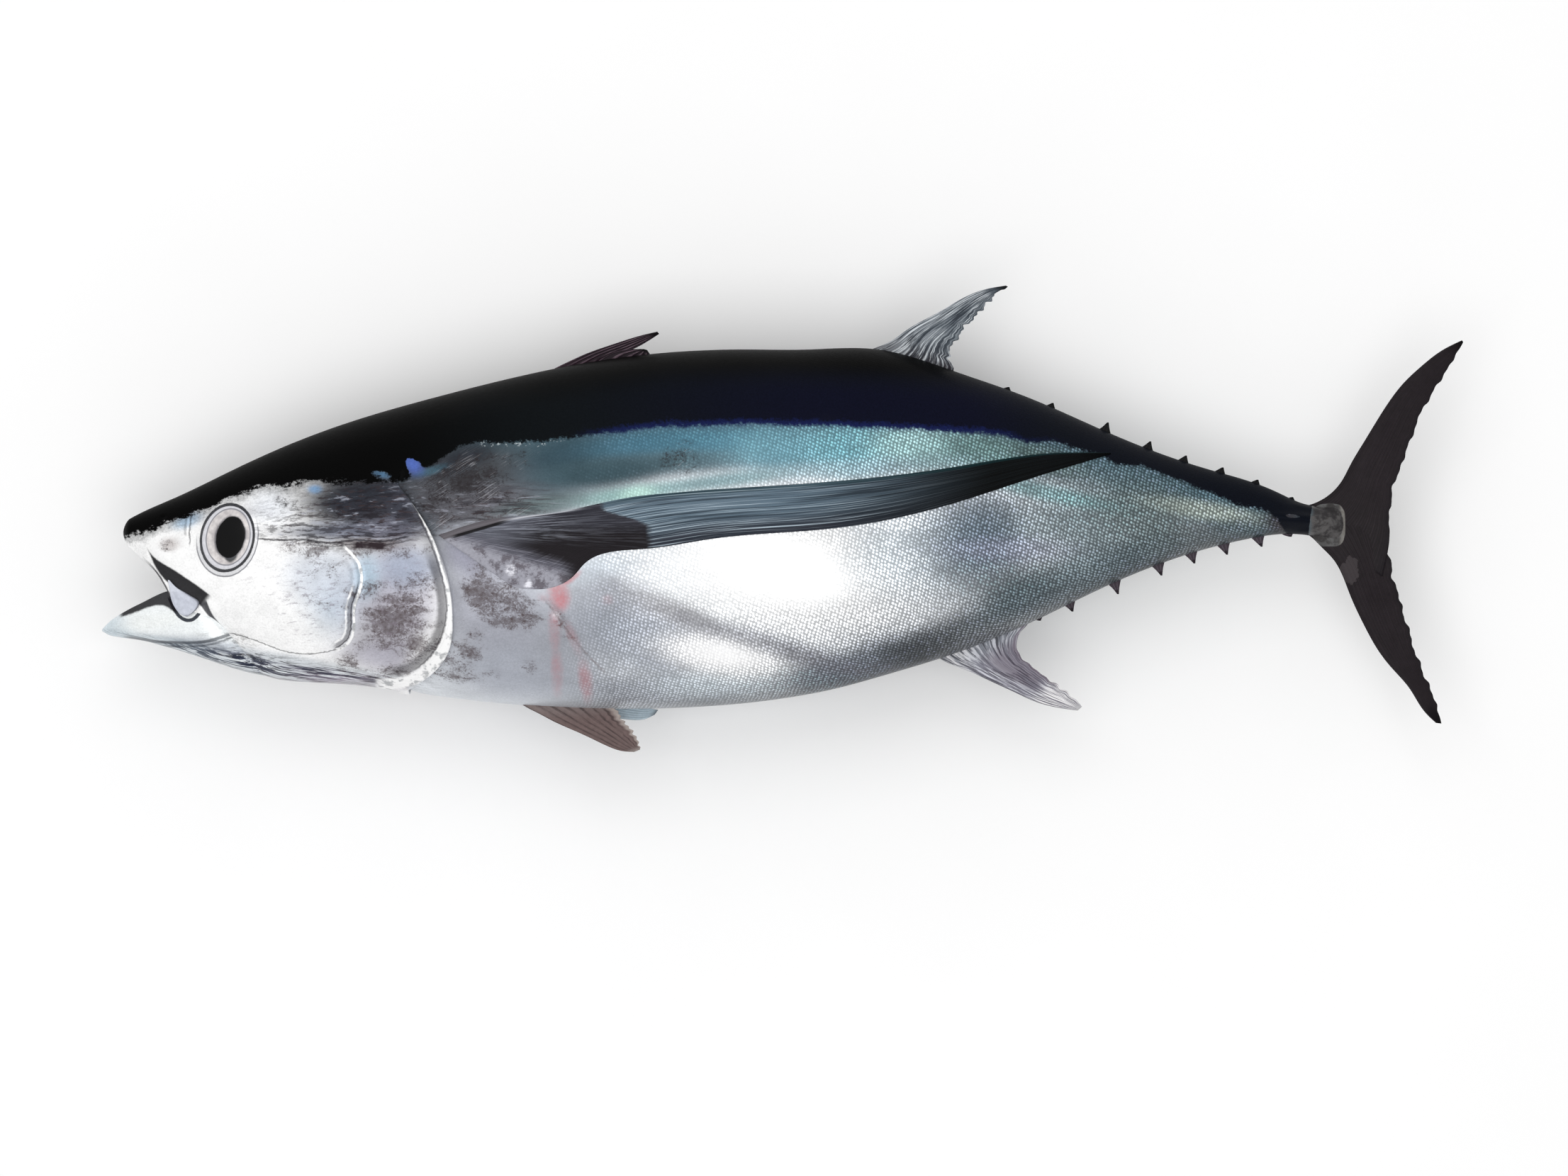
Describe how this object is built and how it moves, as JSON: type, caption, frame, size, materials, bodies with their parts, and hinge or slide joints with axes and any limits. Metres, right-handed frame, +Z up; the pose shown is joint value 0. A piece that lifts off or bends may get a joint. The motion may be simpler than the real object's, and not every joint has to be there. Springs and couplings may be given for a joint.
{
  "type": "whole raw tuna",
  "caption": "Whole raw long-finned tuna lying on its side, mouth open, with a long side fin along its flank, finlets and a forked tail.",
  "frame": {"origin": "middle of the whole fish's box, on the surface that it lies on", "axes": "+X from the head to the tail, +Y towards the back, +Z up, out of the left flank"},
  "size_m": [0.96, 0.3288, 0.1549],
  "materials": {
    "skin": "wet, smooth and silvery, near black along the back",
    "eye": "clear and wet, with a dark pupil"
  },
  "bodies": {
    "root": {"fish": "skin", "left_eye": "eye", "right_eye": "eye"}
  },
  "joints": []
}
